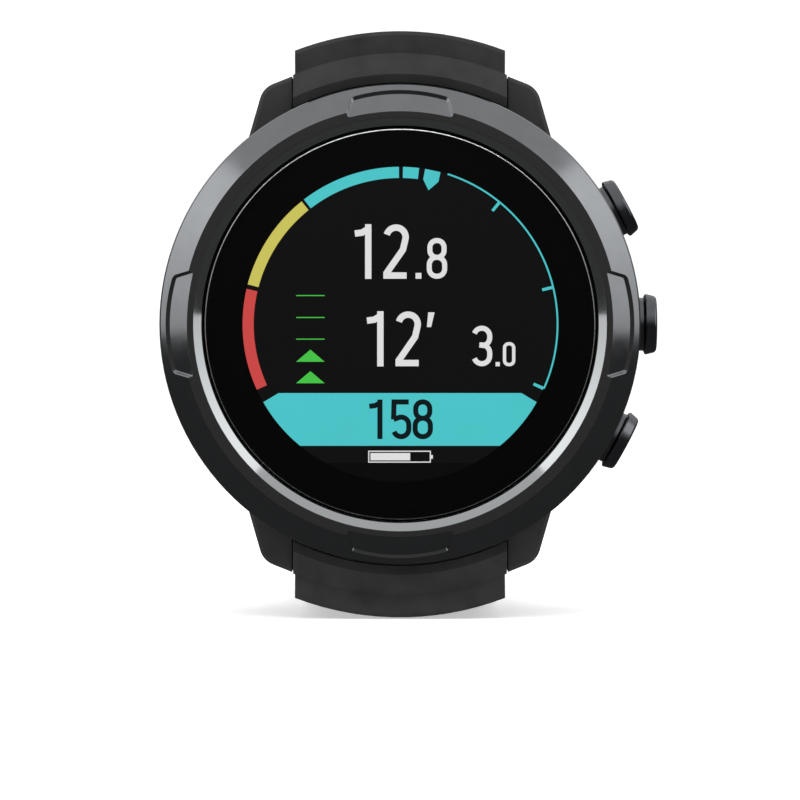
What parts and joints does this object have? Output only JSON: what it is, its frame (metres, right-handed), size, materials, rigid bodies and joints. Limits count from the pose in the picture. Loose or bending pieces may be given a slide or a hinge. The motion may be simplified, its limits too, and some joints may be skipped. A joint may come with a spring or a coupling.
{
  "type": "wrist dive computer",
  "caption": "Round wrist dive computer with a fixed steel bezel, colour display, side push buttons and an open two-part silicone strap with a pin buckle.",
  "frame": {"origin": "middle of the flat underside of the lower strap half, on which the watch stands", "axes": "the dial faces -Y, +Y runs back along the strap, +X is the three o'clock side with the buttons, +Z is twelve o'clock"},
  "size_m": [0.0552, 0.1059, 0.0652],
  "materials": {
    "bezel_steel": "dark coated steel, polished",
    "cover_glass": "polished mineral glass",
    "seal_rubber": "moulded seal rubber",
    "display_black": "black printed border",
    "display_glass": "lit colour display",
    "case_polyamide": "fine matte moulded composite",
    "back_steel": "turned and bead-blasted steel",
    "screw_steel": "plain steel",
    "contact_gold": "gold-plated",
    "chassis_plastic": "moulded plastic",
    "board_green": "solder mask",
    "chip_black": "moulded epoxy",
    "battery_foil": "laminate pouch foil",
    "flex_amber": "polyimide film",
    "button_steel": "dark coated steel, polished",
    "strap_silicone": "matte silicone",
    "buckle_steel": "dark coated steel, brushed"
  },
  "bodies": {
    "watch_case": {"bezel_ring": "bezel_steel", "crystal": "cover_glass", "crystal_gasket": "seal_rubber", "display_mask": "display_black", "display_panel": "display_glass", "bezel_gasket": "seal_rubber", "case_middle": "case_polyamide", "case_back": "back_steel", "case_back_gasket": "seal_rubber", "case_back_screws": "screw_steel", "charging_contacts": "contact_gold", "pressure_sensor": "screw_steel", "pressure_sensor_cover": "screw_steel", "inner_chassis": "chassis_plastic", "main_circuit_board": "board_green", "circuit_chips": "chip_black", "battery_cell": "battery_foil", "display_flex": "flex_amber", "antenna": "contact_gold", "buzzer_disc": "contact_gold", "vibration_motor_can": "screw_steel", "upper_button_tube": "screw_steel", "upper_button_switch": "chip_black", "upper_button_spring": "screw_steel", "middle_button_tube": "screw_steel", "middle_button_switch": "chip_black", "middle_button_spring": "screw_steel", "lower_button_tube": "screw_steel", "lower_button_switch": "chip_black", "lower_button_spring": "screw_steel"},
    "upper_button": {"upper_button_cap": "button_steel", "upper_button_seal": "seal_rubber", "upper_button_clip": "screw_steel"},
    "middle_button": {"middle_button_cap": "button_steel", "middle_button_seal": "seal_rubber", "middle_button_clip": "screw_steel"},
    "lower_button": {"lower_button_cap": "button_steel", "lower_button_seal": "seal_rubber", "lower_button_clip": "screw_steel"},
    "vibration_weight": {"vibration_motor_weight": "screw_steel"},
    "strap_upper_half": {"strap_upper": "strap_silicone", "spring_bar_upper": "screw_steel", "buckle_bar": "screw_steel", "keeper_fixed": "strap_silicone"},
    "strap_lower_half": {"strap_lower": "strap_silicone", "spring_bar_lower": "screw_steel"},
    "quick_release_upper": {"quick_release_pin_upper": "screw_steel"},
    "quick_release_lower": {"quick_release_pin_lower": "screw_steel"},
    "buckle": {"buckle_frame": "buckle_steel"},
    "tongue": {"buckle_tongue": "buckle_steel"},
    "free_keeper": {"keeper_free": "strap_silicone"}
  },
  "joints": [
    {"name": "upper_button_press", "type": "slide", "parent": "watch_case", "child": "upper_button", "axis": [-0.8829, 0, -0.4695], "range_m": [0, 0.0008], "stiffness_N_per_m": 1200, "springref_m": -0.0004, "deforming": ["upper_button_spring"]},
    {"name": "middle_button_press", "type": "slide", "parent": "watch_case", "child": "middle_button", "axis": [-1, 0, 0], "range_m": [0, 0.0008], "stiffness_N_per_m": 1200, "springref_m": -0.0004, "deforming": ["middle_button_spring"]},
    {"name": "lower_button_press", "type": "slide", "parent": "watch_case", "child": "lower_button", "axis": [-0.8829, 0, 0.4695], "range_m": [0, 0.0008], "stiffness_N_per_m": 1200, "springref_m": -0.0004, "deforming": ["lower_button_spring"]},
    {"name": "vibration_spin", "type": "hinge", "parent": "watch_case", "child": "vibration_weight", "pos_m": [0, -0.0235, 0.0472], "axis": [0, 1, 0], "continuous": true},
    {"name": "strap_upper_hinge", "type": "hinge", "parent": "watch_case", "child": "strap_upper_half", "pos_m": [0, -0.0204, 0.058], "axis": [-1, 0, 0], "range_deg": [0, 15]},
    {"name": "strap_lower_hinge", "type": "hinge", "parent": "watch_case", "child": "strap_lower_half", "pos_m": [0, -0.0204, 0.0072], "axis": [1, 0, 0], "range_deg": [0, 10]},
    {"name": "quick_release_upper_slide", "type": "slide", "parent": "strap_upper_half", "child": "quick_release_upper", "axis": [-1, 0, 0], "range_m": [0, 0.0016], "stiffness_N_per_m": 300, "springref_m": -0.001},
    {"name": "quick_release_lower_slide", "type": "slide", "parent": "strap_lower_half", "child": "quick_release_lower", "axis": [-1, 0, 0], "range_m": [0, 0.0016], "stiffness_N_per_m": 300, "springref_m": -0.001},
    {"name": "buckle_hinge", "type": "hinge", "parent": "strap_upper_half", "child": "buckle", "pos_m": [0, 0.03029, 0.04787], "axis": [1, 0, 0], "range_deg": [0, 45]},
    {"name": "tongue_hinge", "type": "hinge", "parent": "buckle", "child": "tongue", "pos_m": [0, 0.03029, 0.04787], "axis": [1, 0, 0], "range_deg": [0, 60]},
    {"name": "free_keeper_slide", "type": "slide", "parent": "strap_upper_half", "child": "free_keeper", "axis": [0, -0.8988, 0.4384], "range_m": [0, 0.005]}
  ]
}
